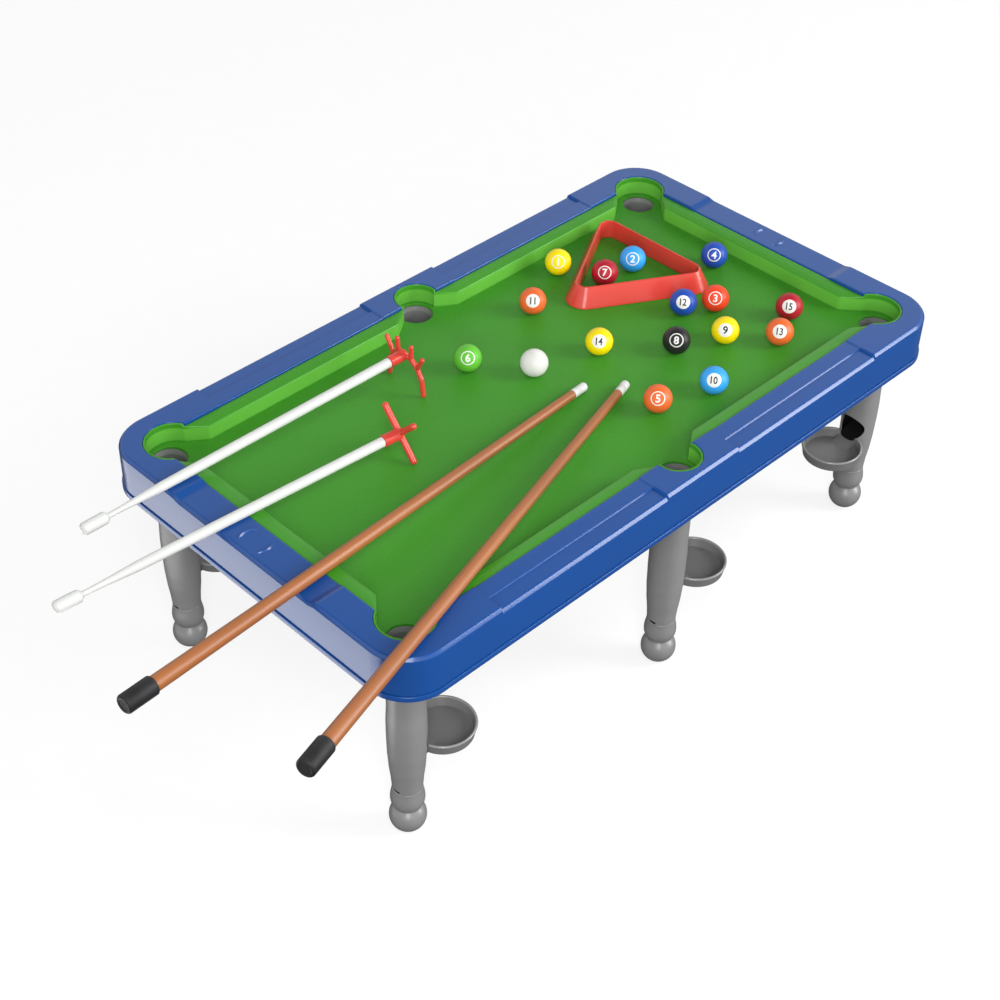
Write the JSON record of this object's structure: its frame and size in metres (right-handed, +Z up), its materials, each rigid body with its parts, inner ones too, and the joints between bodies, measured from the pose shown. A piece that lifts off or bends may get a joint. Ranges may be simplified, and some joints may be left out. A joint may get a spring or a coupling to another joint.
{
  "type": "mini pool table",
  "caption": "Tabletop pool table on turned legs with ball-return trays, set with loose numbered balls, cues, cue rests and a triangular ball rack.",
  "frame": {"origin": "bottom centre of the whole set's box, on the surface that the table stands on; the table's own centre lies 68 mm towards +X and 15 mm towards +Y, because the cues and rests reach out at the left", "axes": "+X along the table's length, away from the cue butts; +Y towards the table's back side; +Z up"},
  "size_m": [0.6669, 0.3285, 0.2112],
  "materials": {
    "blue_plastic": "gloss",
    "green_plastic": "satin gloss",
    "screw_steel": "plain",
    "leg_plastic": "satin",
    "foot_plastic": "satin",
    "tray_plastic": "satin",
    "cue_shaft_plastic": "wood-look print",
    "cue_rubber": "matte",
    "white_plastic": "gloss",
    "red_plastic": "gloss",
    "ball_cue_plastic": "polished",
    "ball_01_plastic": "polished",
    "ball_02_plastic": "polished",
    "ball_03_plastic": "polished",
    "ball_04_plastic": "polished",
    "ball_05_plastic": "polished",
    "ball_06_plastic": "polished",
    "ball_07_plastic": "polished",
    "ball_08_plastic": "polished",
    "ball_09_plastic": "polished",
    "ball_10_plastic": "polished",
    "ball_11_plastic": "polished",
    "ball_12_plastic": "polished",
    "ball_13_plastic": "polished",
    "ball_14_plastic": "polished",
    "ball_15_plastic": "polished"
  },
  "bodies": {
    "table": {"frame": "blue_plastic", "bed": "green_plastic", "bed_screws": "screw_steel", "leg_front_left": "leg_plastic", "leg_front_middle": "leg_plastic", "leg_front_right": "leg_plastic", "leg_back_left": "leg_plastic", "leg_back_middle": "leg_plastic", "leg_back_right": "leg_plastic", "foot_front_left": "foot_plastic", "foot_front_middle": "foot_plastic", "foot_front_right": "foot_plastic", "foot_back_left": "foot_plastic", "foot_back_middle": "foot_plastic", "foot_back_right": "foot_plastic", "tray_front_left": "tray_plastic", "tray_front_middle": "tray_plastic", "tray_front_right": "tray_plastic", "tray_back_left": "tray_plastic", "tray_back_middle": "tray_plastic", "tray_back_right": "tray_plastic"},
    "ball_cue": {"ball_cue": "ball_cue_plastic"},
    "ball_01": {"ball_01": "ball_01_plastic"},
    "ball_02": {"ball_02": "ball_02_plastic"},
    "ball_03": {"ball_03": "ball_03_plastic"},
    "ball_04": {"ball_04": "ball_04_plastic"},
    "ball_05": {"ball_05": "ball_05_plastic"},
    "ball_06": {"ball_06": "ball_06_plastic"},
    "ball_07": {"ball_07": "ball_07_plastic"},
    "ball_08": {"ball_08": "ball_08_plastic"},
    "ball_09": {"ball_09": "ball_09_plastic"},
    "ball_10": {"ball_10": "ball_10_plastic"},
    "ball_11": {"ball_11": "ball_11_plastic"},
    "ball_12": {"ball_12": "ball_12_plastic"},
    "ball_13": {"ball_13": "ball_13_plastic"},
    "ball_14": {"ball_14": "ball_14_plastic"},
    "ball_15": {"ball_15": "ball_15_plastic"},
    "cue_one": {"cue_one_shaft": "cue_shaft_plastic", "cue_one_butt": "cue_rubber", "cue_one_tip": "white_plastic"},
    "cue_two": {"cue_two_shaft": "cue_shaft_plastic", "cue_two_butt": "cue_rubber", "cue_two_tip": "white_plastic"},
    "spider_rest": {"spider_head": "red_plastic", "spider_shaft": "white_plastic", "spider_knob": "white_plastic"},
    "cross_rest": {"cross_head": "red_plastic", "cross_shaft": "white_plastic", "cross_knob": "white_plastic"},
    "ball_rack": {"rack": "red_plastic"}
  },
  "joints": [
    {"name": "ball_cue_lift", "type": "slide", "parent": "table", "child": "ball_cue", "axis": [0, 0, 1], "range_m": [0, 0.08]},
    {"name": "ball_01_lift", "type": "slide", "parent": "table", "child": "ball_01", "axis": [0, 0, 1], "range_m": [0, 0.08]},
    {"name": "ball_02_lift", "type": "slide", "parent": "table", "child": "ball_02", "axis": [0, 0, 1], "range_m": [0, 0.08]},
    {"name": "ball_03_lift", "type": "slide", "parent": "table", "child": "ball_03", "axis": [0, 0, 1], "range_m": [0, 0.08]},
    {"name": "ball_04_lift", "type": "slide", "parent": "table", "child": "ball_04", "axis": [0, 0, 1], "range_m": [0, 0.08]},
    {"name": "ball_05_lift", "type": "slide", "parent": "table", "child": "ball_05", "axis": [0, 0, 1], "range_m": [0, 0.08]},
    {"name": "ball_06_lift", "type": "slide", "parent": "table", "child": "ball_06", "axis": [0, 0, 1], "range_m": [0, 0.08]},
    {"name": "ball_07_lift", "type": "slide", "parent": "table", "child": "ball_07", "axis": [0, 0, 1], "range_m": [0, 0.08]},
    {"name": "ball_08_lift", "type": "slide", "parent": "table", "child": "ball_08", "axis": [0, 0, 1], "range_m": [0, 0.08]},
    {"name": "ball_09_lift", "type": "slide", "parent": "table", "child": "ball_09", "axis": [0, 0, 1], "range_m": [0, 0.08]},
    {"name": "ball_10_lift", "type": "slide", "parent": "table", "child": "ball_10", "axis": [0, 0, 1], "range_m": [0, 0.08]},
    {"name": "ball_11_lift", "type": "slide", "parent": "table", "child": "ball_11", "axis": [0, 0, 1], "range_m": [0, 0.08]},
    {"name": "ball_12_lift", "type": "slide", "parent": "table", "child": "ball_12", "axis": [0, 0, 1], "range_m": [0, 0.08]},
    {"name": "ball_13_lift", "type": "slide", "parent": "table", "child": "ball_13", "axis": [0, 0, 1], "range_m": [0, 0.08]},
    {"name": "ball_14_lift", "type": "slide", "parent": "table", "child": "ball_14", "axis": [0, 0, 1], "range_m": [0, 0.08]},
    {"name": "ball_15_lift", "type": "slide", "parent": "table", "child": "ball_15", "axis": [0, 0, 1], "range_m": [0, 0.08]},
    {"name": "cue_one_lift", "type": "slide", "parent": "table", "child": "cue_one", "axis": [0, 0, 1], "range_m": [0, 0.08]},
    {"name": "cue_two_lift", "type": "slide", "parent": "table", "child": "cue_two", "axis": [0, 0, 1], "range_m": [0, 0.08]},
    {"name": "spider_rest_lift", "type": "slide", "parent": "table", "child": "spider_rest", "axis": [0, 0, 1], "range_m": [0, 0.08]},
    {"name": "cross_rest_lift", "type": "slide", "parent": "table", "child": "cross_rest", "axis": [0, 0, 1], "range_m": [0, 0.08]},
    {"name": "ball_rack_lift", "type": "slide", "parent": "table", "child": "ball_rack", "axis": [0, 0, 1], "range_m": [0, 0.08]}
  ]
}
